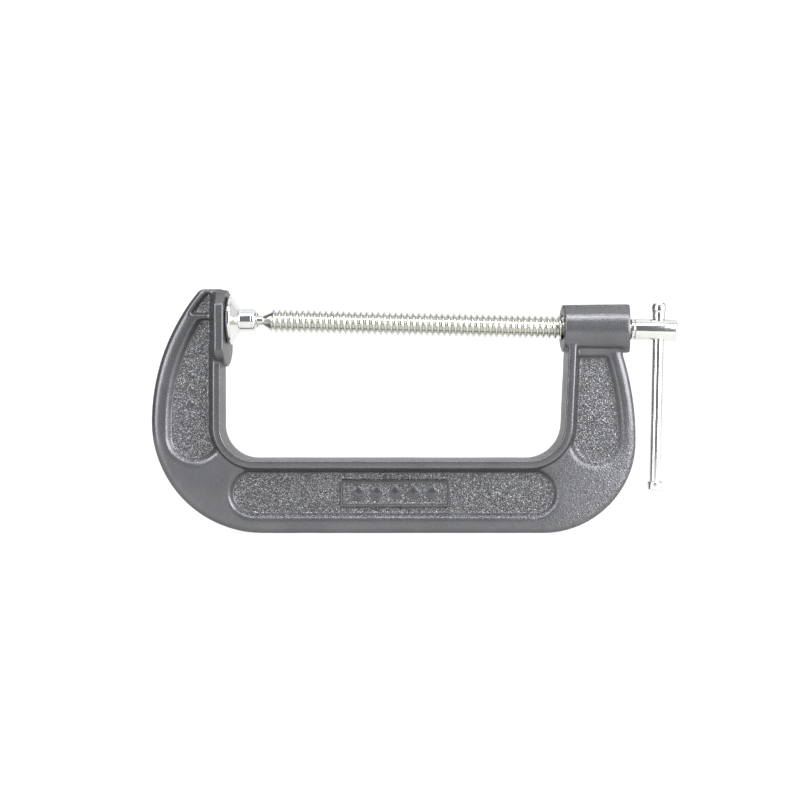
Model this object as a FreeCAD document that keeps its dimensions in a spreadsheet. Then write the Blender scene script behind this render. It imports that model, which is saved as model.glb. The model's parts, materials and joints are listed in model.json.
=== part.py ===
import FreeCAD, Part

import math
import os

import Sketcher
from FreeCAD import Placement, Rotation, Vector

# An 8 inch C clamp, closed and standing on its bar.
# The frame is a casting; a long screw runs through its boss and pushes a swivel pad towards the anvil.
# Origin: centre of the anvil's face. +X runs from the anvil to the handle, +Z from the bar to the screw.
# The casting is symmetric about the plane Y = 0. Lengths are in millimetres.

SIZES = {
    # casting, seen from its side
    "anvil_radius": 26.5,
    "anvil_flat": 21.5,
    "anvil_rim": 6.0,
    "anvil_back": 11.5,
    "anvil_back_flat": 5.0,
    "anvil_back_radius": 24.0,
    "arm_top": 27.0,
    "arm_inner": -3.4,
    "arm_outer": -51.6,
    "arm_bend": 141.5,
    "arm_bend_level": -64.2,
    "arm_tip_round": 6.0,
    "heel_bend": 76.3,
    "base_level": -140.5,
    "throat": 90.0,
    "inner_bend_left": 23.2,
    "inner_bend_right": 24.6,
    "boss_arm_inner": 231.0,
    "boss_arm_bend_level": -66.5,
    "boss_arm_top": 233.7,
    "boss_arm_outer": 280.5,
    "toe_bend": 63.9,
    "boss_arm_curve": 197.0,
    "boss_arm_shoulder": 267.4,
    "boss_foot": -6.0,
    # casting, across its thickness
    "rim_half": 8.0,
    "web_half": 4.0,
    "flange_half": 13.0,
    "flange_crest": 5.0,
    "flange_root": 10.8,
    "flange_end": -10.0,
    "rim_round": 4.5,
    "cutter_margin": 1.0,
    # pockets in the web, measured at their floors; a slope is how far a wall leans per millimetre of depth
    "arm_pocket_slope": 1.0,
    "arm_pocket_top_slope": 0.4,
    "tip_pocket_slope": 0.4,
    "bar_pocket_slope": 0.85,
    "boss_arm_pocket_slope": 1.0,
    "boss_arm_pocket_top_slope": 0.9,
    "arm_pocket_inset": 14.2,
    "arm_pocket_round": 15.0,
    "arm_pocket_level": -73.9,
    "arm_pocket_top": 5.5,
    "tip_pocket_inset": 6.1,
    "tip_pocket_top": 24.4,
    "tip_pocket_foot": 10.5,
    "tip_pocket_edge": -9.0,
    "bar_pocket_round": 13.9,
    "bar_pocket_level": -112.8,
    "bar_pocket_left": 18.7,
    "bar_pocket_right": 209.7,
    "boss_arm_pocket_inset": 12.8,
    "boss_arm_pocket_round": 14.7,
    "boss_arm_pocket_top": -21.0,
    # raised ornament on the web: a bordered panel with lozenges on the bar, and pips on the arm
    "relief_sunk": 0.5,
    "relief_height": 0.8,
    "panel_left": 78.5,
    "panel_right": 152.2,
    "panel_top": -104.5,
    "panel_foot": -121.9,
    "panel_border": 1.3,
    "lozenge_step": 12.6,
    "lozenge_half_length": 4.4,
    "lozenge_half_height": 4.6,
    "pip_radius": 1.7,
    "pip_step": 9.5,
    "pip_line": -24.0,
    "pip_first": -32.0,
    # boss
    "boss_start": 230.4,
    "boss_end": 277.0,
    "boss_end_draft": 2.8,
    "boss_radius_start": 16.3,
    "boss_radius_end": 16.8,
    "boss_round": 1.8,
    "bore_reach": 30.0,
    "nut_thread_lead": 28.0,
    "nut_thread_length": 56.0,
    # screw, along its own axis from the point where it crosses the boss's axis
    "screw_centre": 254.5,
    "screw_tilt": 1.36,
    "thread_pitch": 4.0,
    "thread_major": 8.0,
    "thread_root": 5.8,
    "thread_crest_flat": 0.9,
    "thread_clearance": 0.3,
    "ball_centre": 241.9,
    "ball_radius": 5.6,
    "shank_radius": 4.2,
    "shank_end": 236.0,
    "neck_radius": 3.15,
    "neck_end": 230.9,
    "thread_start": 224.4,
    "thread_lead": 230.0,
    "thread_length": 252.8,
    "thread_margin": 0.3,
    "relief_start": 20.2,
    "relief_slope": 1.2,
    "relief_radius": 5.7,
    "collar_start": 22.9,
    "collar_end": 24.7,
    "collar_radius": 7.2,
    "seat_radius": 6.6,
    "head_start": 25.4,
    "head_chamfer": 0.5,
    "head_end": 54.6,
    "head_radius": 7.5,
    "head_bevel": 1.2,
    "handle_hole": 42.4,
    "handle_hole_radius": 4.3,
    # swivel pad, along its own axis from the anvil's face
    "pad_face": 0.3,
    "pad_face_radius": 15.7,
    "pad_radius": 16.9,
    "pad_rim_start": 1.5,
    "pad_rim_end": 3.3,
    "pad_neck_radius": 7.85,
    "pad_neck_start": 8.4,
    "pad_neck_end": 17.9,
    "pad_end": 20.5,
    "pad_mouth_radius": 4.9,
    "socket_clearance": 0.3,
    # sliding handle, along its own axis from the screw's axis
    "handle_radius": 4.0,
    "cap_wall_top": 2.0,
    "upper_cap_start": 7.9,
    "upper_cap_seam": 11.9,
    "upper_cap_wide": 14.8,
    "upper_cap_end": 18.6,
    "upper_cap_radius": 5.2,
    "upper_cap_foot": 4.5,
    "upper_cap_lip": 4.8,
    "upper_cap_crown": 4.7,
    "lower_cap_start": 103.9,
    "lower_cap_end": 110.8,
    "lower_cap_radius": 5.35,
    "cap_bevel": 1.1,
}


class Size:
    """A number together with the sheet expression that gives it."""

    def __init__(self, value, text=None):
        self.value = float(value)
        self.text = text if text is not None else repr(float(value))

    def joined(self, other, sign, value):
        return Size(value, "(%s %s %s)" % (self.text, sign, other.text))

    def __add__(self, other):
        other = as_size(other)
        return self.joined(other, "+", self.value + other.value)

    def __sub__(self, other):
        other = as_size(other)
        return self.joined(other, "-", self.value - other.value)

    def __mul__(self, other):
        other = as_size(other)
        return self.joined(other, "*", self.value * other.value)

    def __truediv__(self, other):
        other = as_size(other)
        return self.joined(other, "/", self.value / other.value)

    def __neg__(self):
        return Size(-self.value, "(0 - %s)" % self.text)


def as_size(number):
    return number if isinstance(number, Size) else Size(number)


def square_root(size):
    return Size(math.sqrt(size.value), "sqrt(%s)" % size.text)


def make_sheet(document):
    sheet = document.addObject("Spreadsheet::Sheet", "Sizes")
    for row, (name, value) in enumerate(SIZES.items(), start=1):
        sheet.set("A%d" % row, name)
        sheet.set("B%d" % row, str(value))
        sheet.setAlias("B%d" % row, name)
    document.recompute()
    return sheet


document = FreeCAD.newDocument("c_clamp")
sheet = make_sheet(document)
size = {name: Size(sheet.get(name), "Sizes." + name) for name in SIZES}
ZERO = Size(0)


# ---------------------------------------------------------------- sketches and features

def origin_plane(body, role):
    return next(part for part in body.Origin.OriginFeatures if part.Role == role)


def new_sketch(body, name, plane="XZ_Plane", offset=None, shift=None, turn=None):
    """A sketch on one of the body's own planes; offset moves it along the plane's normal."""
    sketch = body.newObject("Sketcher::SketchObject", name)
    sketch.AttachmentSupport = [(origin_plane(body, plane), "")]
    sketch.MapMode = "FlatFace"
    if turn is not None:
        sketch.AttachmentOffset = Placement(Vector(0, 0, 0), Rotation(Vector(0, 0, 1), turn.value))
        sketch.setExpression("AttachmentOffset.Rotation.Angle", turn.text)
    if shift is not None:
        sketch.setExpression("AttachmentOffset.Base.x", shift.text)
    if offset is not None:
        sketch.setExpression("AttachmentOffset.Base.z", offset.text)
    return sketch


def bind(sketch, kind, arguments, size_value):
    index = sketch.addConstraint(Sketcher.Constraint(kind, *arguments, size_value.value))
    sketch.setExpression("Constraints[%d]" % index, size_value.text)


def arc_through(start, end, radius):
    """The arc from start to end: anticlockwise for a positive radius, clockwise for a negative one."""
    half = (end - start) * 0.5
    side = Vector(-half.y, half.x, 0).normalize()
    depth = math.sqrt(max(radius * radius - half.Length ** 2, 0.0))
    centre = start + half + side * math.copysign(depth, radius)
    circle = Part.Circle(centre, Vector(0, 0, 1), abs(radius))
    first, last = (start, end) if radius > 0 else (end, start)
    angles = [math.atan2(point.y - centre.y, point.x - centre.x) for point in (first, last)]
    return Part.ArcOfCircle(circle, angles[0], angles[1])


def draw(sketch, corners):
    """Closes an outline through corners: (x, y), or (x, y, r) where an arc of radius r goes to the next."""
    places = [Vector(corner[0].value, corner[1].value, 0) for corner in corners]
    edges = []
    for index, corner in enumerate(corners):
        start, end = places[index], places[(index + 1) % len(places)]
        if len(corner) == 2:
            geometry = sketch.addGeometry(Part.LineSegment(start, end), False)
            edges.append((geometry, 1, 2))
            continue
        radius = corner[2]
        geometry = sketch.addGeometry(arc_through(start, end, radius.value), False)
        edges.append((geometry, 1, 2) if radius.value > 0 else (geometry, 2, 1))
    for index, (geometry, _, tail) in enumerate(edges):
        following, head, _ = edges[(index + 1) % len(edges)]
        sketch.addConstraint(Sketcher.Constraint("Coincident", geometry, tail, following, head))
    for (geometry, head, _), corner in zip(edges, corners):
        bind(sketch, "DistanceX", (-1, 1, geometry, head), corner[0])
        bind(sketch, "DistanceY", (-1, 1, geometry, head), corner[1])
        if len(corner) == 3:
            radius = corner[2] if corner[2].value > 0 else -corner[2]
            bind(sketch, "Radius", (geometry,), radius)


def circle(sketch, across, up, radius):
    centre = Vector(across.value, up.value, 0)
    geometry = sketch.addGeometry(Part.Circle(centre, Vector(0, 0, 1), radius.value), False)
    bind(sketch, "DistanceX", (-1, 1, geometry, 3), across)
    bind(sketch, "DistanceY", (-1, 1, geometry, 3), up)
    bind(sketch, "Radius", (geometry,), radius)


def new_body(name):
    body = document.addObject("PartDesign::Body", name)
    body.Label = name
    return body


def feature(body, kind, name, **settings):
    item = body.newObject("PartDesign::" + kind, name)
    for setting, value in settings.items():
        setattr(item, setting, value)
    return item


def pad(body, name, sketch, length, midplane=False, reverse=False):
    item = feature(body, "Pad", name, Profile=sketch, Midplane=midplane, Reversed=reverse)
    item.setExpression("Length", length.text)
    return item


def revolve(body, name, corners):
    """Turns an outline, drawn above the sketch's horizontal axis, once around that axis."""
    sketch = new_sketch(body, name + "_outline")
    draw(sketch, corners)
    item = feature(body, "Revolution", name, Profile=sketch, ReferenceAxis=(sketch, ["H_Axis"]))
    item.Angle = 360
    return item


def mirror(body, name, features):
    """Repeats features on the other side of the plane Y = 0."""
    item = feature(body, "Mirrored", name, Originals=features)
    item.MirrorPlane = (origin_plane(body, "XZ_Plane"), [""])
    body.Tip = item
    return item


def loft(body, kind, name, plane, sections):
    """A ruled loft between outlines; each section is (offset along the plane's normal, corners)."""
    sketches = []
    for number, (offset, corners) in enumerate(sections):
        sketch = new_sketch(body, "%s_section_%d" % (name, number), plane, offset=offset)
        draw(sketch, corners)
        sketches.append(sketch)
    return feature(body, kind, name, Profile=sketches[0], Sections=sketches[1:], Ruled=True)


# ---------------------------------------------------------------- frame

# how far apart two places may be, in millimetres, and still count as touching or as near each other
TOUCH = 0.01
NEAR = 1.0


def arm_arc_x(radius, level):
    """X of the anvil arm's curved back, for a given bend radius, at a level."""
    rise = level - size["arm_bend_level"]
    return size["arm_outer"] + size["arm_bend"] - square_root(radius * radius - rise * rise)


def boss_arm_arc_x(radius, level):
    """X of the boss arm's curved back, for a given bend radius, at a level."""
    rise = level - (size["base_level"] + size["toe_bend"])
    return size["boss_arm_outer"] - size["boss_arm_curve"] + square_root(radius * radius - rise * rise)


def frame_outline():
    inner_left = size["arm_inner"] + size["inner_bend_left"]
    inner_right = size["boss_arm_inner"] - size["inner_bend_right"]
    return [
        (size["arm_outer"] + size["heel_bend"], size["base_level"]),
        (size["boss_arm_outer"] - size["toe_bend"], size["base_level"], size["toe_bend"]),
        (size["boss_arm_outer"], size["base_level"] + size["toe_bend"], size["boss_arm_curve"]),
        (size["boss_arm_shoulder"], size["boss_foot"]),
        (size["boss_arm_top"], size["boss_foot"]),
        (size["boss_arm_inner"], size["boss_arm_bend_level"], -size["inner_bend_right"]),
        (inner_right, -size["throat"]),
        (inner_left, -size["throat"], -size["inner_bend_left"]),
        (size["arm_inner"], size["inner_bend_left"] - size["throat"]),
        (size["arm_inner"], size["arm_top"]),
        (arm_arc_x(size["arm_bend"], size["arm_top"]), size["arm_top"], size["arm_bend"]),
        (size["arm_outer"], size["arm_bend_level"], size["heel_bend"]),
    ]


def flange_outline(width):
    """The band that lines the throat, width deep, from inside the anvil to inside the boss."""
    foot = size["flange_end"]
    inner_left = size["arm_inner"] + size["inner_bend_left"]
    inner_right = size["boss_arm_inner"] - size["inner_bend_right"]
    bend_left = size["inner_bend_left"] - size["throat"]
    lean = size["boss_arm_top"] - size["boss_arm_inner"]
    lean = lean / (size["boss_foot"] - size["boss_arm_bend_level"])
    return [
        (size["arm_inner"], foot),
        (size["arm_inner"] - width, foot),
        (size["arm_inner"] - width, bend_left, size["inner_bend_left"] + width),
        (inner_left, -size["throat"] - width),
        (inner_right, -size["throat"] - width, size["inner_bend_right"] + width),
        (size["boss_arm_inner"] + width, size["boss_arm_bend_level"] - width * lean),
        (size["boss_arm_top"] + width, size["boss_foot"]),
        (size["boss_arm_top"], size["boss_foot"]),
        (size["boss_arm_inner"], size["boss_arm_bend_level"], -size["inner_bend_right"]),
        (inner_right, -size["throat"]),
        (inner_left, -size["throat"], -size["inner_bend_left"]),
        (size["arm_inner"], bend_left),
    ]


def arm_pocket(grow):
    """The long pocket in the anvil arm; its edges move out by grow."""
    inset, level = size["arm_pocket_inset"], size["arm_pocket_level"]
    middle = size["arm_outer"] + inset + size["arm_pocket_round"]
    radius = size["arm_pocket_round"] + grow
    back = size["arm_bend"] - inset + grow
    top, right = size["arm_pocket_top"] + grow * size["arm_pocket_top_slope"], middle + radius
    return [
        (right, level),
        (right, top),
        (arm_arc_x(back, top), top, back),
        (middle - radius, size["arm_bend_level"]),
        (middle - radius, level, radius),
        (middle, level - radius, radius),
    ]


def tip_pocket(grow):
    """The small triangular pocket behind the top of the anvil."""
    back = size["arm_bend"] - size["tip_pocket_inset"] + grow
    top, foot, right = size["tip_pocket_top"], size["tip_pocket_foot"] - grow, size["tip_pocket_edge"]
    return [
        (right, foot),
        (right, top),
        (arm_arc_x(back, top), top, back),
        (arm_arc_x(back, foot), foot),
    ]


def bar_pocket(grow):
    """The stadium-shaped pocket along the bar."""
    level, radius = size["bar_pocket_level"], size["bar_pocket_round"] + grow
    left, right = size["bar_pocket_left"], size["bar_pocket_right"]
    return [
        (left, level - radius),
        (right, level - radius, radius),
        (right + radius, level, radius),
        (right, level + radius),
        (left, level + radius, radius),
        (left - radius, level, radius),
    ]


def boss_arm_pocket(grow):
    """The pocket in the boss arm, under the boss."""
    inset = size["boss_arm_pocket_inset"]
    middle = size["boss_arm_outer"] - inset - size["boss_arm_pocket_round"]
    level = size["base_level"] + size["toe_bend"]
    radius = size["boss_arm_pocket_round"] + grow
    back = size["boss_arm_curve"] - inset + grow
    top = size["boss_arm_pocket_top"] + grow * size["boss_arm_pocket_top_slope"]
    return [
        (middle - radius, level, radius),
        (middle, level - radius, radius),
        (middle + radius, level, back),
        (boss_arm_arc_x(back, top), top),
        (middle - radius, top),
    ]


def anvil_outline(flat, radius):
    """A disc of that radius with two parallel flats."""
    half = square_root(radius * radius - flat * flat)
    return [
        (flat, -half),
        (flat, half, radius),
        (-flat, half),
        (-flat, -half, radius),
    ]


def rectangle(left, foot, right, top):
    return [(left, foot), (right, foot), (right, top), (left, top)]


def lozenge(middle, level):
    length, height = size["lozenge_half_length"], size["lozenge_half_height"]
    return [
        (middle - length, level),
        (middle, level - height),
        (middle + length, level),
        (middle, level + height),
    ]


def add_ornament(body):
    """The panel with its border and five lozenges, and a row of four pips on the anvil arm."""
    sketch = new_sketch(body, "ornament_outline", offset=size["web_half"] - size["relief_sunk"])
    left, right = size["panel_left"], size["panel_right"]
    foot, top, border = size["panel_foot"], size["panel_top"], size["panel_border"]
    draw(sketch, rectangle(left, foot, right, top))
    draw(sketch, rectangle(left + border, foot + border, right - border, top - border))
    middle, level = (left + right) / 2, (foot + top) / 2
    for place in (-2, -1, 0, 1, 2):
        draw(sketch, lozenge(middle + size["lozenge_step"] * place, level))
    for place in range(4):
        circle(sketch, size["pip_line"], size["pip_first"] - size["pip_step"] * place, size["pip_radius"])
    return pad(body, "ornament", sketch, size["relief_sunk"] + size["relief_height"])


def thread_corners(position, half_crest, half_root, crest, root):
    return [
        (position - half_root, root),
        (position + half_root, root),
        (position + half_crest, crest),
        (position - half_crest, crest),
    ]


def add_anvil(body):
    sketch = new_sketch(body, "anvil_outline", "YZ_Plane")
    draw(sketch, anvil_outline(size["anvil_flat"], size["anvil_radius"]))
    pad(body, "anvil_disc", sketch, size["anvil_rim"], reverse=True)
    loft(body, "AdditiveLoft", "anvil_back", "YZ_Plane", [
        (-size["anvil_rim"], anvil_outline(size["anvil_flat"], size["anvil_radius"])),
        (-size["anvil_back"], anvil_outline(size["anvil_back_flat"], size["anvil_back_radius"])),
    ])


def add_boss(body):
    revolve(body, "boss", [
        (size["boss_start"], ZERO),
        (size["boss_end"], ZERO),
        (size["boss_end"], size["boss_radius_end"] - size["boss_round"], size["boss_round"]),
        (size["boss_end"] - size["boss_round"], size["boss_radius_end"]),
        (size["boss_start"], size["boss_radius_start"]),
    ])
    end, radius, margin = size["boss_end"], size["boss_radius_end"], size["cutter_margin"]
    sketch = new_sketch(body, "boss_end_draft_outline", "XY_Plane")
    draw(sketch, [
        (end, ZERO),
        (end - size["boss_end_draft"], -radius),
        (end - size["boss_end_draft"], -radius - margin),
        (end + margin, -radius - margin),
        (end + margin, radius + margin),
        (end - size["boss_end_draft"], radius + margin),
        (end - size["boss_end_draft"], radius),
    ])
    draft = feature(body, "Pocket", "boss_end_draft", Profile=sketch, Type="Length", Midplane=True)
    draft.setExpression("Length", (radius * 2).text)


def cut_thread(body):
    """The boss's thread: the screw's own thread, grown by the clearance, cut around the screw's axis."""
    tilt = -size["screw_tilt"]
    bore = new_sketch(body, "bore_outline", shift=size["screw_centre"], turn=tilt)
    reach = size["bore_reach"]
    inner = size["thread_root"] + size["thread_clearance"]
    draw(bore, [(-reach, ZERO), (reach, ZERO), (reach, inner), (-reach, inner)])
    cut = feature(body, "Groove", "bore", Profile=bore, ReferenceAxis=(bore, ["H_Axis"]))
    cut.Angle = 360
    profile = new_sketch(body, "nut_thread_outline", shift=size["screw_centre"], turn=tilt)
    widening = size["thread_clearance"] / math.cos(thread_flank())
    crest = size["thread_major"] + size["thread_clearance"]
    half_crest = half_ridge(crest) + widening
    half_root = half_ridge(size["thread_root"]) + widening
    start = -size["nut_thread_lead"]
    draw(profile, thread_corners(start, half_crest, half_root, crest, size["thread_root"]))
    return helix(body, "nut_thread", profile, size["nut_thread_length"])


def thread_flank():
    """Angle of a flank from the plane across the axis, in radians."""
    run = (SIZES["thread_pitch"] - 2 * SIZES["thread_crest_flat"]) / 2
    return math.atan(run / (SIZES["thread_major"] - SIZES["thread_root"]))


def half_ridge(radius):
    """Half the width of the screw's ridge at a radius."""
    slope = (size["thread_pitch"] - size["thread_crest_flat"] * 2) / 2
    slope = slope / (size["thread_major"] - size["thread_root"])
    return size["thread_crest_flat"] / 2 + (size["thread_major"] - radius) * slope


def helix(body, name, profile, length):
    item = feature(body, "SubtractiveHelix", name, Profile=profile, ReferenceAxis=(profile, ["H_Axis"]))
    item.Mode = 0
    item.setExpression("Pitch", size["thread_pitch"].text)
    item.setExpression("Height", length.text)
    return item


def edges_on_outline(shape, half):
    """The outer rim's long edges at a distance half from the middle plane, but not the throat's."""
    names = []
    for number, edge in enumerate(shape.Edges, start=1):
        box = edge.BoundBox
        if abs(abs(box.YMin) - half) > TOUCH or box.YLength > TOUCH:
            continue
        middle = edge.valueAt((edge.FirstParameter + edge.LastParameter) / 2)
        in_throat = SIZES["arm_inner"] - NEAR < middle.x < SIZES["boss_arm_top"] + NEAR
        if in_throat and middle.z > -SIZES["throat"] - NEAR:
            continue
        if middle.z > SIZES["boss_foot"] - NEAR and middle.x > 0:
            continue
        names.append("Edge%d" % number)
    return names


def make_frame():
    body = new_body("frame")
    outline = new_sketch(body, "frame_outline")
    draw(outline, frame_outline())
    plate = pad(body, "plate", outline, size["rim_half"] * 2, midplane=True)
    document.recompute()
    tip = [
        "Edge%d" % number for number, edge in enumerate(plate.Shape.Edges, start=1)
        if edge.BoundBox.XMax < 0 and edge.BoundBox.ZMin > SIZES["arm_top"] - TOUCH
        and edge.BoundBox.YLength > SIZES["rim_half"] and edge.BoundBox.XMax < SIZES["arm_inner"] - NEAR
    ]
    rounding = feature(body, "Fillet", "tip_round", Base=(plate, tip))
    rounding.setExpression("Radius", size["arm_tip_round"].text)
    document.recompute()
    rim_edges = edges_on_outline(rounding.Shape, SIZES["rim_half"])
    rim = feature(body, "Fillet", "rim_round", Base=(rounding, rim_edges))
    rim.setExpression("Radius", size["rim_round"].text)
    document.recompute()

    cutters = []
    outside = size["rim_half"] + size["cutter_margin"]
    depth = outside - size["web_half"]
    for name, corners in (
        ("arm_pocket", arm_pocket),
        ("tip_pocket", tip_pocket),
        ("bar_pocket", bar_pocket),
        ("boss_arm_pocket", boss_arm_pocket),
    ):
        cutters.append(loft(body, "SubtractiveLoft", name, "XZ_Plane", [
            (size["web_half"], corners(ZERO)),
            (outside, corners(depth * size[name + "_slope"])),
        ]))
    mirror(body, "far_pockets", cutters)
    flange = loft(body, "AdditiveLoft", "flange", "XZ_Plane", [
        (ZERO, flange_outline(size["flange_root"])),
        (size["flange_half"], flange_outline(size["flange_crest"])),
    ])
    mirror(body, "far_side", [flange, add_ornament(body)])
    add_anvil(body)
    add_boss(body)
    body.Tip = cut_thread(body)
    return body


# ---------------------------------------------------------------- screw, pad and handle

def make_screw():
    """One piece: ball, neck, threaded rod, relief and head. Its axis is the body's X axis."""
    body = new_body("screw")
    ball, radius, shank = -size["ball_centre"], size["ball_radius"], size["shank_radius"]
    reach = square_root(radius * radius - shank * shank)
    bevel, chamfer = size["head_bevel"], size["head_chamfer"]
    blank = revolve(body, "blank", [
        (ball - radius, ZERO, -radius),
        (ball, radius, -radius),
        (ball + reach, shank),
        (-size["shank_end"], shank),
        (-size["neck_end"], size["neck_radius"]),
        (-size["thread_start"], size["thread_major"]),
        (size["relief_start"], size["thread_major"]),
        (size["relief_start"] + size["relief_slope"], size["relief_radius"]),
        (size["collar_start"], size["relief_radius"]),
        (size["collar_start"], size["collar_radius"]),
        (size["collar_end"], size["collar_radius"]),
        (size["collar_end"], size["seat_radius"]),
        (size["head_start"], size["seat_radius"]),
        (size["head_start"], size["head_radius"] - chamfer),
        (size["head_start"] + chamfer, size["head_radius"]),
        (size["head_end"] - bevel, size["head_radius"]),
        (size["head_end"], size["head_radius"] - bevel),
        (size["head_end"], ZERO),
    ])
    document.recompute()
    profile = new_sketch(body, "groove_outline")
    half_root = size["thread_crest_flat"] / 2
    outer = size["thread_major"] + size["thread_margin"]
    half_mouth = size["thread_pitch"] / 2 - half_ridge(outer)
    draw(profile, thread_corners(-size["thread_lead"], half_mouth, half_root, outer, size["thread_root"]))
    groove = helix(body, "thread", profile, size["thread_length"])
    document.recompute()
    print("thread cut", round(blank.Shape.Volume - groove.Shape.Volume, 1), "mm3")
    hole_sketch = new_sketch(body, "handle_hole_outline", "XY_Plane")
    circle(hole_sketch, size["handle_hole"], ZERO, size["handle_hole_radius"])
    hole = feature(body, "Pocket", "handle_hole", Profile=hole_sketch, Type="ThroughAll", Midplane=True)
    body.Tip = hole
    body.Placement = screw_placement()
    return body


def screw_placement():
    return Placement(Vector(SIZES["screw_centre"], 0, 0), Rotation(Vector(0, 1, 0), SIZES["screw_tilt"]))


def ball_place():
    return screw_placement().multVec(Vector(-SIZES["ball_centre"], 0, 0))


def make_pad():
    """A cone and a neck swaged over the screw's ball, on an axis square to the anvil's face."""
    body = new_body("swivel_pad")
    socket = size["ball_radius"] + size["socket_clearance"]
    mouth = size["pad_mouth_radius"]
    centre = Size(ball_place().x)
    lip = square_root(socket * socket - mouth * mouth)
    turn = size["pad_end"] - size["pad_neck_end"]
    revolve(body, "pad", [
        (size["pad_face"], ZERO),
        (centre - socket, ZERO, -socket),
        (centre, socket, -socket),
        (centre + lip, mouth),
        (size["pad_end"], mouth),
        (size["pad_end"], size["pad_neck_radius"] - turn, turn),
        (size["pad_neck_end"], size["pad_neck_radius"]),
        (size["pad_neck_start"], size["pad_neck_radius"]),
        (size["pad_rim_end"], size["pad_radius"]),
        (size["pad_rim_start"], size["pad_radius"]),
        (size["pad_face"], size["pad_face_radius"]),
    ])
    body.Placement = Placement(Vector(0, 0, ball_place().z), Rotation())
    return body


def handle_placement():
    """The handle's own X axis points up, square to the screw."""
    centre = screw_placement().multVec(Vector(SIZES["handle_hole"], 0, 0))
    return Placement(centre, Rotation(Vector(0, 1, 0), SIZES["screw_tilt"] - 90))


def make_handle_bar():
    body = new_body("handle_bar")
    end = size["cap_wall_top"]
    revolve(body, "bar", [
        (end - size["lower_cap_end"], ZERO),
        (size["upper_cap_end"] - end, ZERO),
        (size["upper_cap_end"] - end, size["handle_radius"]),
        (end - size["lower_cap_end"], size["handle_radius"]),
    ])
    body.Placement = handle_placement()
    return body


def make_upper_cap():
    body = new_body("handle_cap_upper")
    start, end, bevel = size["upper_cap_start"], size["upper_cap_end"], size["cap_bevel"]
    seat = end - size["cap_wall_top"]
    revolve(body, "cap", [
        (start, size["handle_radius"]),
        (seat, size["handle_radius"]),
        (seat, ZERO),
        (end, ZERO),
        (end, size["upper_cap_crown"] - bevel, bevel),
        (end - bevel, size["upper_cap_crown"]),
        (size["upper_cap_wide"], size["upper_cap_radius"]),
        (size["upper_cap_seam"], size["upper_cap_lip"]),
        (size["upper_cap_seam"], size["upper_cap_foot"]),
        (start, size["upper_cap_foot"]),
    ])
    body.Placement = handle_placement()
    return body


def make_lower_cap():
    body = new_body("handle_cap_lower")
    start, end, bevel = -size["lower_cap_start"], -size["lower_cap_end"], size["cap_bevel"]
    seat = end + size["cap_wall_top"]
    revolve(body, "cap", [
        (end, ZERO),
        (seat, ZERO),
        (seat, size["handle_radius"]),
        (start, size["handle_radius"]),
        (start, size["lower_cap_radius"] - bevel),
        (start - bevel, size["lower_cap_radius"]),
        (end + bevel, size["lower_cap_radius"]),
        (end, size["lower_cap_radius"] - bevel),
    ])
    body.Placement = handle_placement()
    return body


# ---------------------------------------------------------------- build, check and write

def check_document():
    for item in document.Objects:
        if "Invalid" in item.State or "Error" in item.State:
            raise RuntimeError("%s failed: %s" % (item.Name, item.State))


def write_parts(bodies):
    os.makedirs("parts", exist_ok=True)
    for body in bodies:
        shape = body.Shape
        if shape.isNull() or not shape.isValid():
            raise RuntimeError(body.Label + " has no valid shape")
        print(body.Label, "solids", len(shape.Solids), "volume", round(shape.Volume, 1))
        shape.exportStep("parts/%s.step" % body.Label)


bodies = [
    make_frame(),
    make_screw(),
    make_pad(),
    make_handle_bar(),
    make_upper_cap(),
    make_lower_cap(),
]
document.recompute()
check_document()
write_parts(bodies)
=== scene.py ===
import json
import math

import bmesh
import bpy
import numpy as np
from mathutils import Matrix, Vector, noise


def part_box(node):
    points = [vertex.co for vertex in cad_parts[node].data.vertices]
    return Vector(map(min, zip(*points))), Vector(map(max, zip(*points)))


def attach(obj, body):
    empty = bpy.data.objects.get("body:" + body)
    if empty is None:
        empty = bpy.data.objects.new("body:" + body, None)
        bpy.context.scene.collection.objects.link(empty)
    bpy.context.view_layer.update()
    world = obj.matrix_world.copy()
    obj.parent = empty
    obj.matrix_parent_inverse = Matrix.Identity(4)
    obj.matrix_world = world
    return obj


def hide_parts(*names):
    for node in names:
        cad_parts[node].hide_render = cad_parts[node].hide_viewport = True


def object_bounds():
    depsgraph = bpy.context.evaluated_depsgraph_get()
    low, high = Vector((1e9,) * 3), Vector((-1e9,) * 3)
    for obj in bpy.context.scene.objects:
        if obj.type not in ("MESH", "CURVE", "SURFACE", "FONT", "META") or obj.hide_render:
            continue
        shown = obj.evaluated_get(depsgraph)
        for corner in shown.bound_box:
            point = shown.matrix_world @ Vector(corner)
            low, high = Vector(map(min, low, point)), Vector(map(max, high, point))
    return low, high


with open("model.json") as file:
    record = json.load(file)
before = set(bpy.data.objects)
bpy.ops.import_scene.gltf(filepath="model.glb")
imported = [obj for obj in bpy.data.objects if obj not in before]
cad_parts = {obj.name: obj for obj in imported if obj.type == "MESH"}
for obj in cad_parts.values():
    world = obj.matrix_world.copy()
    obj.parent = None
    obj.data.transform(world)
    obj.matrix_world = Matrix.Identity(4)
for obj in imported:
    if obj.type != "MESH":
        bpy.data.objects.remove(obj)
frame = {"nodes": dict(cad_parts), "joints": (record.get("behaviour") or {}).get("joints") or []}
cad_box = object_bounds()

MM = 0.001
WEB_HALF = 4.0 * MM
RIM_HALF = 8.0 * MM


def joint(name):
    return next(item for item in frame["joints"] if item["name"] == name)

# ---------------------------------------------------------------- materials

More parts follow.
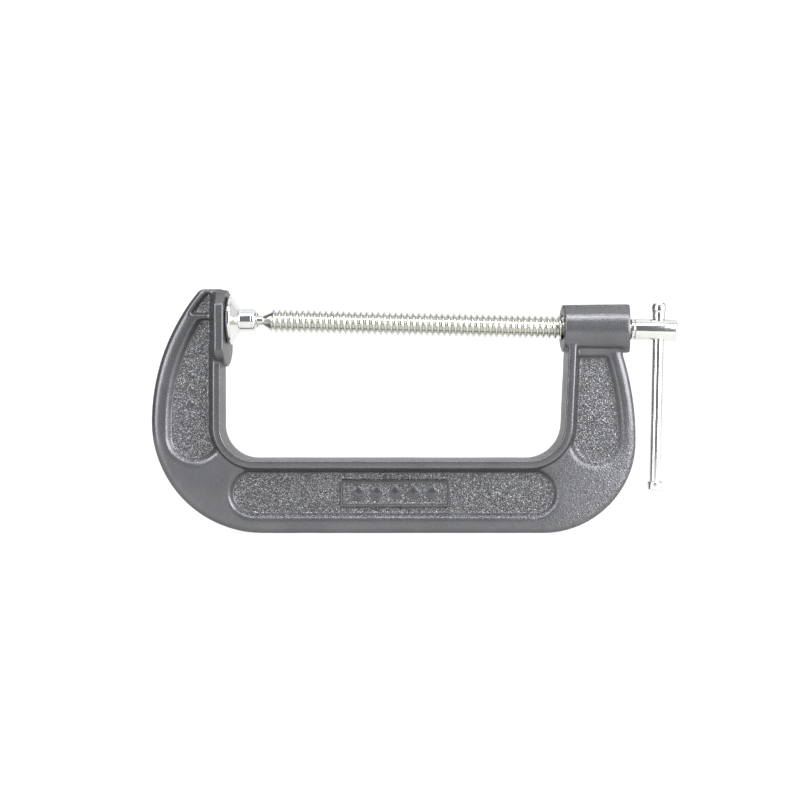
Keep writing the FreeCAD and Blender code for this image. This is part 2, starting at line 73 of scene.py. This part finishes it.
ENAMEL_GLOSS = {"Metallic": 0.65, "Specular_IOR_Level": 0.6, "Specular_Tint": (0.45, 0.45, 0.46, 1)}
ENAMEL = (0.122, 0.122, 0.130, 1), (0.144, 0.144, 0.153, 1)
SMOOTH_ENAMEL = (0.09, 0.09, 0.098, 1), (0.118, 0.118, 0.127, 1)
WORN = (0.22, 0.215, 0.21, 1)
# Painted shade for the pocket floors and walls.
SHADED = (0.04, 0.04, 0.043, 1)
PIT = (0.03, 0.03, 0.034, 1)
# Painted glint colour: pale specks that stand in for highlights on the grain.
GLINT = (0.62, 0.62, 0.64, 1)
CLOUD_SHADE = 0.9
CLOUD_DULLS_BY = 0.06


class Nodes:
    """Short calls for a material's node tree."""

    def __init__(self, name):
        self.material = bpy.data.materials.new(name)
        self.material.use_nodes = True
        self.tree = self.material.node_tree
        self.tree.nodes.clear()
        self.output = self.tree.nodes.new("ShaderNodeOutputMaterial")
        self.shader = self.tree.nodes.new("ShaderNodeBsdfPrincipled")
        self.link(self.shader.outputs[0], self.output.inputs[0])
        coordinates = self.tree.nodes.new("ShaderNodeTexCoord")
        self.place, self.normal = coordinates.outputs["Object"], coordinates.outputs["Normal"]

    def link(self, source, target):
        self.tree.links.new(source, target)

    def feed(self, target, value):
        if hasattr(value, "links"):
            self.link(value, target)
        else:
            target.default_value = value

    def noise(self, scale, detail, rough):
        node = self.tree.nodes.new("ShaderNodeTexNoise")
        for name, value in (("Scale", scale), ("Detail", detail), ("Roughness", rough)):
            node.inputs[name].default_value = value
        self.link(self.place, node.inputs["Vector"])
        return node.outputs["Fac"]

    def ramp(self, source, low, high, start=0.0, end=1.0):
        """Maps source from low..high to start..end, with clamped ends."""
        node = self.tree.nodes.new("ShaderNodeMapRange")
        for name, value in (("From Min", low), ("From Max", high), ("To Min", start), ("To Max", end)):
            node.inputs[name].default_value = value
        self.link(source, node.inputs["Value"])
        return node.outputs[0]

    def split(self, vector, letter):
        node = self.tree.nodes.new("ShaderNodeSeparateXYZ")
        self.link(vector, node.inputs[0])
        return node.outputs[letter]

    def math(self, operation, a, b=0.0):
        node = self.tree.nodes.new("ShaderNodeMath")
        node.operation = operation
        self.feed(node.inputs[0], a)
        self.feed(node.inputs[1], b)
        return node.outputs[0]

    def product(self, a, b):
        return self.math("MULTIPLY", a, b)

    def mix(self, factor, a, b):
        node = self.tree.nodes.new("ShaderNodeMix")
        node.data_type = "RGBA"
        self.feed(node.inputs["Factor"], factor)
        self.feed(node.inputs["A"], a)
        self.feed(node.inputs["B"], b)
        return node.outputs["Result"]

    def bump(self, height, strength, distance):
        node = self.tree.nodes.new("ShaderNodeBump")
        node.inputs["Strength"].default_value = strength
        node.inputs["Distance"].default_value = distance
        self.link(height, node.inputs["Height"])
        self.link(node.outputs[0], self.shader.inputs["Normal"])

    def set(self, **values):
        for name, value in values.items():
            self.feed(self.shader.inputs[name.replace("_", " ")], value)


def hammered_paint():
    """Grey enamel on rough iron: grain with painted glints in the pockets and the toe, smoother elsewhere;
    painted shade on the pocket floors and walls.
    """
    n = Nodes("grey_hammered_paint")
    along, upright = n.split(n.place, "X"), n.split(n.place, "Z")
    depth = n.math("ABSOLUTE", n.split(n.place, "Y"))
    facing = n.math("ABSOLUTE", n.split(n.normal, "Y"))
    upward = n.ramp(n.split(n.normal, "Z"), 0.35, 0.8)

    floors = n.product(n.ramp(depth, WEB_HALF + 0.0007, WEB_HALF + 0.0003), n.ramp(facing, 0.75, 0.92))
    toe = n.product(n.ramp(along, 0.19, 0.26), n.ramp(depth, RIM_HALF + 0.0008, RIM_HALF + 0.0002))
    toe = n.product(toe, n.ramp(upright, -0.05, -0.09))
    wall_starts = n.ramp(depth, WEB_HALF + 0.0003, WEB_HALF + 0.001)
    wall = n.product(wall_starts, n.ramp(depth, RIM_HALF - 0.0002, RIM_HALF - 0.0008))
    # Where the grain, its pits and the painted glints go; on the walls only where they face up into the top
    # light.
    rough = n.math("MAXIMUM", floors, n.product(toe, 0.8))
    rough = n.math("MAXIMUM", rough, n.product(wall, upward))
    rough = n.ramp(rough, 0.0, 1.0, 0.1, 1.0)

    blotch = n.noise(45, 4.0, 0.6)
    wear = n.noise(320, 5.0, 0.65)
    grain = n.noise(900, 2.0, 0.6)
    glint = n.noise(1600, 1.0, 0.5)
    pits = n.product(n.ramp(grain, 0.5, 0.38), rough)
    # Painted glints: pale specks standing in for highlights.
    painted_glints = n.product(n.ramp(glint, 0.56, 0.67), rough)

    base = n.mix(n.ramp(blotch, 0.35, 0.65), *ENAMEL)
    base = n.mix(n.ramp(wear, 0.62, 0.75, 0.0, 0.3), base, WORN)
    # Painted shade on the pocket floors and walls, darker pits in the grain, then painted glints.
    for mask, share, colour in (
        (floors, 0.45, SHADED), (pits, 0.65, PIT), (wall, 0.1, SHADED), (painted_glints, 0.5, GLINT),
    ):
        base = n.mix(n.product(mask, share), base, colour)
    n.set(Base_Color=base, Roughness=n.ramp(grain, 0.35, 0.65, 0.3, 0.22), **ENAMEL_GLOSS)
    n.bump(n.product(grain, rough), 0.8, 0.0009)
    return n.material


def plain_paint():
    """The same enamel where the casting is smooth."""
    n = Nodes("grey_smooth_paint")
    blotch = n.noise(300, 4.0, 0.6)
    base = n.mix(n.ramp(blotch, 0.35, 0.65), *SMOOTH_ENAMEL)
    n.set(Base_Color=base, Roughness=n.ramp(blotch, 0.35, 0.65, 0.26, 0.2), **ENAMEL_GLOSS)
    n.bump(blotch, 0.15, 0.0002)
    return n.material


def bright_zinc(name, tint, dull):
    """Zinc plate: bright, a little cloudy, with fine marks from the drum."""
    n = Nodes(name)
    cloud = n.noise(140, 4.0, 0.6)
    marks = n.noise(900, 3.0, 0.7)
    shade = tuple(value * CLOUD_SHADE for value in tint)
    colour = n.mix(n.ramp(cloud, 0.35, 0.7), tint + (1,), shade + (1,))
    roughness = n.ramp(cloud, 0.3, 0.7, dull, dull + CLOUD_DULLS_BY)
    n.set(Base_Color=colour, Metallic=1.0, Roughness=roughness)
    n.bump(marks, 0.12, 0.0001)
    return n.material


paint = hammered_paint()
smooth_paint = plain_paint()
zinc = bright_zinc("bright_zinc", (0.80, 0.80, 0.785), 0.12)
zinc_head = bright_zinc("head_zinc", (0.80, 0.80, 0.77), 0.10)
zinc_warm = bright_zinc("warm_zinc", (0.66, 0.66, 0.61), 0.17)

# ---------------------------------------------------------------- shared by every piece

SHARP_ANGLE = math.radians(40)


def add(name, data):
    """A new object in the scene."""
    piece = bpy.data.objects.new(name, data)
    bpy.context.scene.collection.objects.link(piece)
    return piece


def mesh_of(work, name):
    """A smooth-shaded mesh from a bmesh, which is used up."""
    mesh = bpy.data.meshes.new(name)
    work.to_mesh(mesh)
    work.free()
    shade_smooth(mesh)
    return mesh


def shade_smooth(mesh):
    for polygon in mesh.polygons:
        polygon.use_smooth = True


def shown(name, mesh, material, body, node):
    """The mesh as a visible piece that rides on the body in place of the CAD node."""
    mesh.materials.clear()
    mesh.materials.append(material)
    piece = add(name, mesh)
    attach(piece, body)
    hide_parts(node)


def shown_crisp(name, mesh, material, body, node):
    """A visible piece whose corners stay sharp."""
    mesh.set_sharp_from_angle(angle=SHARP_ANGLE)
    shown(name, mesh, material, body, node)

# ---------------------------------------------------------------- cast frame

VOXEL = 0.0007
MOST_TRIANGLES = 196000
BORE_RADIUS = 0.0085
BORE_REACH = 0.03
TINY = 1e-6
BOX_INSET = 2e-6

LIP_START, LIP_END = 0.0055, 0.0086
BELOW_ANVIL = -0.03
ARM_OUTSIDE = -0.015
PARTING_LINE_HALF = 0.0009
PARTING_LINE_RISE = 0.0003


def merged_mesh(piece):
    """The piece's mesh with its shared corners joined."""
    work = bmesh.new()
    work.from_mesh(piece.data)
    bmesh.ops.remove_doubles(work, verts=work.verts, dist=TINY)
    mesh = bpy.data.meshes.new("work")
    work.to_mesh(mesh)
    work.free()
    return mesh


def modified(mesh, kind, **settings):
    """The mesh after one modifier."""
    carrier = add("carrier", mesh)
    modifier = carrier.modifiers.new(kind, kind)
    for name, value in settings.items():
        setattr(modifier, name, value)
    graph = bpy.context.evaluated_depsgraph_get()
    result = bpy.data.meshes.new_from_object(carrier.evaluated_get(graph))
    bpy.data.objects.remove(carrier)
    return result


def get_places(mesh):
    places = np.empty(len(mesh.vertices) * 3)
    mesh.vertices.foreach_get("co", places)
    return places.reshape(-1, 3)


def set_places(mesh, places):
    mesh.vertices.foreach_set("co", places.ravel())
    mesh.update()


def get_normals(mesh):
    normals = np.empty(len(mesh.vertices) * 3)
    mesh.vertex_normals.foreach_get("vector", normals)
    return normals.reshape(-1, 3)


def get_edges(mesh):
    edges = np.empty(len(mesh.edges) * 2, dtype=np.int64)
    mesh.edges.foreach_get("vertices", edges)
    return edges.reshape(-1, 2)


def smoothed(places, edges, share, rounds):
    """Moves each place towards the middle of its neighbours, by its share of the way."""
    count = np.bincount(edges.ravel(), minlength=len(places))[:, None]
    for _ in range(rounds):
        total = np.zeros_like(places)
        np.add.at(total, edges[:, 0], places[edges[:, 1]])
        np.add.at(total, edges[:, 1], places[edges[:, 0]])
        places = places + share * (total / count - places)
    return places


def noise_at(places, scale, seed):
    """Smooth noise, about -1 to 1, whose features are 1 / scale metres apart."""
    shift = Vector((seed * 17.3, seed * 5.9, seed * 11.1))
    return np.array([noise.noise(Vector(place) * scale + shift) for place in places])


def rising(value, start, width):
    """0 up to start, then a slope of this width up to 1."""
    return np.clip((value - start) / width, 0, 1)


def falling(value, end, width):
    """1 at first, then a slope of this width down to 0 at end."""
    return np.clip((end - value) / width, 0, 1)


def unevenness(places, normals):
    """How each place of the casting moves along its normal; the anvil's face stays flat."""
    depth, level = np.abs(places[:, 1]), places[:, 2]
    facing = np.abs(normals[:, 1])
    web = falling(depth, WEB_HALF + 0.0014, 0.0008)
    push = 0.00010 * noise_at(places, 55, 1) + 0.00003 * noise_at(places, 210, 2)
    push += 0.00007 * noise_at(places, 480, 3) * (0.1 + 0.9 * web * facing ** 2)
    outer = (level < BELOW_ANVIL) | (places[:, 0] < ARM_OUTSIDE)
    line = np.clip(1.0 - depth / PARTING_LINE_HALF, 0, 1) * (1.0 - rising(facing, 0, 0.25)) * outer
    push += PARTING_LINE_RISE * line * (0.6 + 0.4 * noise_at(places, 90, 5))
    free = 1.0 - falling(np.abs(places[:, 0]), 0.001, 0.0008) * (level > BELOW_ANVIL)
    return normals * (push * free)[:, None]


def clear_bore(places):
    """Keeps the boss's bore clear of the screw's thread."""
    start, axis = np.array(joint("screw_turn")["pos_m"]), np.array(joint("screw_turn")["axis"])
    axis = axis / np.linalg.norm(axis)
    along = (places - start) @ axis
    foot = start + along[:, None] * axis
    out = places - foot
    radius = np.linalg.norm(out, axis=1)
    near = (radius < BORE_RADIUS) & (np.abs(along) < BORE_REACH) & (radius > TINY)
    moved = places.copy()
    moved[near] = foot[near] + out[near] / radius[near, None] * BORE_RADIUS
    return moved


def cast_frame():
    """The casting with soft lips round its pockets, small unevenness and a parting line."""
    mesh = modified(merged_mesh(frame["nodes"]["frame"]), "REMESH", mode="VOXEL", voxel_size=VOXEL)
    edges = get_edges(mesh)
    places = smoothed(get_places(mesh), edges, 0.5, 2)
    depth = np.abs(places[:, 1])
    lip = rising(depth, LIP_START, 0.001) * falling(depth, LIP_END, 0.0003)
    places = smoothed(places, edges, 0.6 * lip[:, None], 14)
    set_places(mesh, places)
    lo, hi = (np.array(corner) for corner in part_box("frame"))
    places = places + unevenness(places, get_normals(mesh))
    set_places(mesh, clear_bore(np.clip(places, lo, hi)))
    faces = sum(len(polygon.vertices) - 2 for polygon in mesh.polygons)
    mesh = modified(mesh, "DECIMATE", ratio=min(1.0, MOST_TRIANGLES / faces))
    set_places(mesh, np.clip(get_places(mesh), lo + BOX_INSET, hi - BOX_INSET))
    shade_smooth(mesh)
    shown("cast_frame", mesh, paint, "frame", "frame")


cast_frame()

# ---------------------------------------------------------------- cast ornament

PANEL_CENTRE_FROM_LEFT = 0.16695
PANEL_CENTRE_FROM_FOOT = 0.0273
PANEL_HALF = (0.03685, 0.0087)
PANEL_CORNER = 0.001
BORDER_HALF_WIDTH = 0.0007
LOZENGE_STEP = 0.0126
LOZENGE_HALF = (0.0040, 0.0042)
PIP_FROM_LEFT = 0.0276
PIP_FIRST_FROM_TOP = 0.059
PIP_STEP = 0.0095
PIP_RADIUS = 0.0016
PIPS = 4
PIP_SIDES = 24
RELIEF_TOP = 0.0056
RELIEF_FOOT = 0.0038
RELIEF = RELIEF_TOP - RELIEF_FOOT
RIDGE_STEPS = 8
RIDGE_SPREAD = 1.25
RIDGE_FULLNESS = 0.6
SHARPEST_MITRE = 0.3
MOUND = ((1.0, 0.0), (0.95, 0.5), (0.9, 0.66), (0.5, 0.9), (0.12, 1.1))


def raised_ring(work, outline, half, side):
    """A closed ridge with a rounded top along a flat outline of (x, z) points."""
    count = len(outline)
    rows = []
    for index in range(count):
        before, here, after = (Vector(outline[(index + k) % count]) for k in (-1, 0, 1))
        a, b = (here - before).normalized(), (after - here).normalized()
        out = Vector((a.y + b.y, -a.x - b.x))
        out = out.normalized() / max(SHARPEST_MITRE, out.normalized().dot(Vector((a.y, -a.x))))
        row = []
        for step in range(RIDGE_STEPS + 1):
            angle = math.pi * step / RIDGE_STEPS
            place = here + out * half * math.cos(angle) * RIDGE_SPREAD
            rise = RELIEF_FOOT + RELIEF * math.sin(angle) ** RIDGE_FULLNESS
            row.append(work.verts.new((place.x, side * rise, place.y)))
        rows.append(row)
    for index, row in enumerate(rows):
        following = rows[(index + 1) % count]
        for step in range(RIDGE_STEPS):
            work.faces.new((row[step], following[step], following[step + 1], row[step + 1]))
        work.faces.new((following[0], row[0], row[-1], following[-1]))


def raised_boss(work, outline, side):
    """A low mound with a flat top over a flat outline of (x, z) points."""
    middle = sum((Vector(point) for point in outline), Vector((0, 0))) / len(outline)
    rows = []
    for share, rise in MOUND:
        level = side * (RELIEF_FOOT + RELIEF * rise)
        points = [(middle.x + (x - middle.x) * share, middle.y + (z - middle.y) * share) for x, z in outline]
        rows.append([work.verts.new((x, level, z)) for x, z in points])
    count = len(outline)
    for low_row, high_row in zip(rows, rows[1:]):
        for index in range(count):
            following = (index + 1) % count
            work.faces.new((low_row[index], low_row[following], high_row[following], high_row[index]))
    work.faces.new(rows[-1])
    work.faces.new(list(reversed(rows[0])))


def softened_rectangle(x, z, half_x, half_z, radius):
    """The outline of a rectangle with round corners, as (x, z) points."""
    points = []
    corners = ((1, 1, 0), (-1, 1, 90), (-1, -1, 180), (1, -1, 270))
    for sign_x, sign_z, start in corners:
        for step in range(5):
            angle = math.radians(start + 22.5 * step)
            points.append((
                x + sign_x * (half_x - radius) + radius * math.cos(angle),
                z + sign_z * (half_z - radius) + radius * math.sin(angle),
            ))
    return points


def ornament():
    """A border with five lozenges on the bar and a row of pips on the left arm, on both sides."""
    lo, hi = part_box("frame")
    x, z = lo.x + PANEL_CENTRE_FROM_LEFT, lo.z + PANEL_CENTRE_FROM_FOOT
    work = bmesh.new()
    for side in (-1, 1):
        border = softened_rectangle(x, z, *PANEL_HALF, PANEL_CORNER)
        raised_ring(work, border, BORDER_HALF_WIDTH, side)
        for place in (-2, -1, 0, 1, 2):
            middle = x + LOZENGE_STEP * place
            long, tall = LOZENGE_HALF
            diamond = [(middle + long, z), (middle, z + tall), (middle - long, z), (middle, z - tall)]
            raised_boss(work, diamond, side)
        for place in range(PIPS):
            level = hi.z - PIP_FIRST_FROM_TOP - PIP_STEP * place
            turns = [2 * math.pi * step / PIP_SIDES for step in range(PIP_SIDES)]
            disc = [
                (lo.x + PIP_FROM_LEFT + PIP_RADIUS * math.cos(a), level + PIP_RADIUS * math.sin(a))
                for a in turns
            ]
            raised_boss(work, disc, side)
    bmesh.ops.recalc_face_normals(work, faces=work.faces)
    mesh = mesh_of(work, "ornament")
    shown_crisp("cast_ornament", mesh, smooth_paint, "frame", "frame")

# ---------------------------------------------------------------- turned and threaded steel

# Lengths in this section are in mm: along the screw from its joint, along the handle from the
# middle of the hole in the screw's head, and along the pad from the anvil's face.
SEGMENTS = 96
PITCH = 4.0
CREST, ROOT = 8.0, 5.8
THREAD_FULLNESS = 0.8
THREAD_START, THREAD_END = -233.0, 22.6
STATIONS_APART = 0.27
BALL_CENTRE, BALL_RADIUS, NECK_RADIUS = -241.9, 5.6, 4.1
BALL_STEPS = 20
SOCKET_RADIUS, MOUTH_RADIUS = 5.9, 4.9
HOLE_FROM_JOINT = 42.4
HOLE_RADIUS = 4.3
HOLE_CUT_REACH = 12.0
BAR_RADIUS = 4.0
BAR_STRAIGHT = (-103.3, 7.3)
LEAST_ARC, STRAIGHT_COSINE, ARC_STEPS = 0.02, 0.995, 4


def axes_at(origin, along):
    """A place whose X axis points along, with Y kept level."""
    x = Vector(along).normalized()
    y = Vector((0, 1, 0))
    z = x.cross(y)
    return Matrix.Translation(Vector(origin)) @ Matrix((x, y, z)).transposed().to_4x4()


SCREW_PLACE = axes_at(joint("screw_turn")["pos_m"], joint("screw_turn")["axis"])
HANDLE_PLACE = axes_at(SCREW_PLACE @ Vector((HOLE_FROM_JOINT * MM, 0, 0)), joint("handle_slide")["axis"])


def rounded(outline, radius):
    """The outline with each corner that has room replaced by a short arc."""
    points = [Vector(point) for point in outline]
    result = [points[0]]
    for before, corner, after in zip(points, points[1:], points[2:]):
        back, ahead = before - corner, after - corner
        reach = min(radius, 0.45 * back.length, 0.45 * ahead.length)
        if reach < LEAST_ARC or abs(back.normalized().dot(ahead.normalized())) > STRAIGHT_COSINE:
            result.append(corner)
            continue
        start, end = corner + back.normalized() * reach, corner + ahead.normalized() * reach
        for step in range(ARC_STEPS + 1):
            t = step / ARC_STEPS
            result.append(start * (1 - t) ** 2 + corner * 2 * t * (1 - t) + end * t * t)
    result.append(points[-1])
    return result


def ring(work, place, x, radius, radius_at):
    """The corners of one ring about place's X axis, or its one corner on the axis."""
    if radius < TINY:
        return [work.verts.new(place @ Vector((x * MM, 0, 0)))]
    corners = []
    for step in range(SEGMENTS):
        angle = 2 * math.pi * step / SEGMENTS
        r = (radius_at(x, angle, radius) if radius_at else radius) * MM
        corner = Vector((x * MM, r * math.cos(angle), r * math.sin(angle)))
        corners.append(work.verts.new(place @ corner))
    return corners


def turned_mesh(outline, place, radius_at=None):
    """A solid of revolution about place's X axis; outline is (x, radius), from axis to axis."""
    work = bmesh.new()
    rings = [ring(work, place, x, radius, radius_at) for x, radius in outline]
    for first, second in zip(rings, rings[1:]):
        for step in range(SEGMENTS):
            following = (step + 1) % SEGMENTS
            if len(first) == 1:
                work.faces.new((first[0], second[following], second[step]))
            elif len(second) == 1:
                work.faces.new((first[step], first[following], second[0]))
            else:
                work.faces.new((first[step], first[following], second[following], second[step]))
    bmesh.ops.recalc_face_normals(work, faces=work.faces)
    return mesh_of(work, "turned")


def thread_radius(x, angle):
    """A rolled thread: rounded crests and roots, right-handed about +X."""
    phase = (x / PITCH - angle / (2 * math.pi)) * 2 * math.pi
    wave = math.cos(phase)
    swell = math.copysign(abs(wave) ** THREAD_FULLNESS, wave)
    return (CREST + ROOT) / 2 + (CREST - ROOT) / 2 * swell


def screw_radius(x, angle, blank):
    """The smaller of the blank and the thread cut into it."""
    if x < THREAD_START or x > THREAD_END:
        return blank
    return min(blank, max(thread_radius(x, angle), min(blank, ROOT)))


def bar_radius(x, angle, radius):
    """A drawn bar is not quite straight or round."""
    bend = 0.02 * (1 + math.sin(0.11 * x + angle))
    return radius - bend - 0.008 * (1 + math.sin(0.37 * x + 2 * angle))


def blank_outline(corners, step):
    """The outline with extra stations, so that a shape can be cut into it."""
    stations = []
    for (x0, r0), (x1, r1) in zip(corners, corners[1:]):
        count = max(1, round((x1 - x0) / step)) if abs(x1 - x0) > 2 else 1
        for index in range(count):
            t = index / count
            stations.append((x0 + (x1 - x0) * t, r0 + (r1 - r0) * t))
    stations.append(corners[-1])
    return stations


def ball_outline(centre, radius, neck):
    """The ball from its tip to where the neck starts."""
    last = math.asin(neck / radius)
    angles = [math.pi - (math.pi - last) * step / BALL_STEPS for step in range(BALL_STEPS + 1)]
    return [(centre + radius * math.cos(a), radius * math.sin(a)) for a in angles]


def threaded_rod():
    """The screw up to its head: ball, neck, point, thread and run-out."""
    outline = ball_outline(BALL_CENTRE, BALL_RADIUS, NECK_RADIUS)
    outline += rounded([
        (-237.2, NECK_RADIUS), (-235.8, NECK_RADIUS), (-230.9, 3.15), (-229.9, 3.15), (-224.4, 7.9),
    ], 0.8)
    outline += blank_outline([(-224.2, CREST), (20.2, CREST)], STATIONS_APART)
    outline += rounded([(20.3, CREST), (21.4, 5.7), (22.9, 5.7), (23.0, 0.0)], 0.5)
    mesh = turned_mesh(outline, SCREW_PLACE, screw_radius)
    shown_crisp("screw_thread", mesh, zinc_warm, "screw", "screw")


def screw_head():
    """The collar, the seam and the head with its cross hole."""
    outline = rounded([
        (22.7, 0.0), (22.7, 5.5), (22.9, 5.5), (22.9, 7.2), (24.7, 7.2), (24.75, 6.6),
        (25.35, 6.6), (25.4, 7.5), (53.6, 7.5), (54.6, 6.4), (54.6, 1.2), (54.0, 0.0),
    ], 0.5)
    reach, radius = HOLE_CUT_REACH, HOLE_RADIUS
    hole = turned_mesh([(-reach, 0.0), (-reach, radius), (reach, radius), (reach, 0.0)], HANDLE_PLACE)
    cutter = add("cutter", hole)
    mesh = turned_mesh(outline, SCREW_PLACE)
    mesh = modified(mesh, "BOOLEAN", object=cutter, operation="DIFFERENCE", solver="EXACT")
    bpy.data.objects.remove(cutter)
    shown_crisp("screw_head", mesh, zinc_head, "screw", "screw")


def swivel_pad():
    """The pad's face, cone and neck, with the socket round the screw's ball."""
    lo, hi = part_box("swivel_pad")
    place = Matrix.Translation(Vector((0, 0, (lo.z + hi.z) / 2)))
    ball = SCREW_PLACE @ Vector((BALL_CENTRE * MM, 0, 0))
    outline = ball_outline(ball.x / MM, SOCKET_RADIUS, MOUTH_RADIUS)
    outline += rounded([
        (20.5, MOUTH_RADIUS), (20.5, 5.2), (19.9, 6.4), (18.9, 7.4), (17.7, 7.85), (16.9, 7.85),
        (16.8, 7.75), (16.6, 7.75), (16.5, 7.85), (9.0, 7.85), (7.9, 8.7), (3.3, 16.9),
        (1.5, 16.9), (0.3, 15.7), (0.3, 9.0), (0.7, 8.6), (0.7, 0.0),
    ], 0.6)
    mesh = turned_mesh(outline, place)
    shown_crisp("swivel_pad", mesh, zinc, "pad", "swivel_pad")


def handle():
    """The bar and its two caps; the upper cap rests on the head."""
    first, last = BAR_STRAIGHT
    ends = rounded([
        (-108.8, 0.0), (-108.8, 3.6), (-108.4, BAR_RADIUS), (-104.6, BAR_RADIUS),
        (-103.4, BAR_RADIUS), (7.4, BAR_RADIUS), (16.2, BAR_RADIUS), (16.6, 3.6), (16.6, 0.0),
    ], 0.3)
    bar = [point for point in ends if point[0] < first - 0.05]
    bar += blank_outline([(first, BAR_RADIUS), (last, BAR_RADIUS)], 1.4)
    bar += [point for point in ends if point[0] > last + 0.05]
    upper = rounded([
        (16.6, 0.0), (16.6, BAR_RADIUS), (7.9, BAR_RADIUS), (7.9, 4.5), (11.7, 4.5),
        (11.75, 4.35), (11.95, 4.35), (12.0, 4.75), (13.2, 5.02), (14.8, 5.2), (16.2, 5.1),
        (17.5, 4.7), (18.6, 3.9), (18.6, 1.0), (18.3, 0.0),
    ], 0.25)
    lower = rounded([
        (-108.8, 0.0), (-108.8, BAR_RADIUS), (-103.9, BAR_RADIUS), (-103.9, 4.4),
        (-104.8, 5.35), (-109.7, 5.35), (-110.8, 4.3), (-110.8, 0.0),
    ], 0.5)
    for node, outline, radius_at in (
        ("handle_bar", bar, bar_radius), ("handle_cap_upper", upper, None), ("handle_cap_lower", lower, None),
    ):
        mesh = turned_mesh(outline, HANDLE_PLACE, radius_at)
        shown_crisp(node, mesh, zinc, "handle", node)


ornament()
threaded_rod()
screw_head()
swivel_pad()
handle()

# ---------------------------------------------------------------- stage, light and camera

WHITE = (1, 1, 1, 1)
low, high = cad_box
floor_level = low.z


def strip(name, profile, left, right, base, glow):
    """A sheet through the profile's (y, z) points, from left to right of the object's middle."""
    middle = (low.x + high.x) / 2
    mesh = bpy.data.meshes.new(name)
    points = [(middle + x, y, floor_level + z) for y, z in profile for x in (left, right)]
    faces = [(2 * i, 2 * i + 1, 2 * i + 3, 2 * i + 2) for i in range(len(profile) - 1)]
    mesh.from_pydata(points, [], faces)
    shade_smooth(mesh)
    n = Nodes("pale_" + name)
    n.set(Base_Color=base, Roughness=0.9, Emission_Color=WHITE, Emission_Strength=glow)
    mesh.materials.append(n.material)
    piece = add(name, mesh)


def backdrop():
    """A pale floor that curves up into a wall behind the object."""
    depth_front, depth_back, bend, top, steps = 0.47, 0.9, 0.5, 1.2, 24
    profile = [(-depth_front, 0.0), (depth_back - bend, 0.0)]
    for step in range(1, steps + 1):
        angle = math.pi / 2 * step / steps
        profile.append((depth_back - bend + bend * math.sin(angle), bend - bend * math.cos(angle)))
    profile.append((depth_back, top))
    strip("backdrop", profile, -0.7, 0.95, (0.15, 0.15, 0.145, 1), 0.88)
    strip("ceiling", [(-0.3, 1.35), (0.88, 1.3)], -0.7, 1.3, (0.5, 0.5, 0.5, 1), 0.6)


def area_light(name, place, target, size, power):
    """A rectangular light that faces the target."""
    data = bpy.data.lights.new(name, "AREA")
    data.shape = "RECTANGLE"
    data.size, data.size_y = size
    data.energy = power
    lamp = add(name, data)
    lamp.location = place
    lamp.rotation_euler = (target - place).to_track_quat("-Z", "Y").to_euler()


def camera():
    """A level view along +Y, shifted to frame the clamp as the photo does."""
    data = bpy.data.cameras.new("camera")
    data.sensor_width = 36
    data.lens = 48.6
    data.shift_x, data.shift_y = -0.00625, -0.05375
    data.clip_start, data.clip_end = 0.01, 20
    viewer = add("camera", data)
    viewer.location = (0.1221, -0.745, -0.01966)
    viewer.rotation_euler = (math.radians(90), 0, 0)
    bpy.context.scene.camera = viewer


backdrop()
centre = (low + high) / 2
for name, offset, size, power in (
    ("top_strip", (0.0, -0.56, 0.86), (1.5, 0.32), 12.0),
    ("left_box", (-0.80, -0.84, 0.28), (0.5, 0.9), 8.0),
    ("right_box", (0.88, -0.72, 0.28), (0.9, 0.9), 19.0),
    ("back_right", (1.15, 0.25, 0.2), (1.3, 1.0), 2.9),
):
    area_light(name, centre + Vector(offset), centre, size, power)
world = bpy.data.worlds.new("world")
world.use_nodes = True
sky = world.node_tree.nodes["Background"].inputs
sky["Color"].default_value = (0.82, 0.90, 1.0, 1)
sky["Strength"].default_value = 0.22
bpy.context.scene.world = world
bpy.context.scene.view_settings.view_transform = "Standard"
camera()
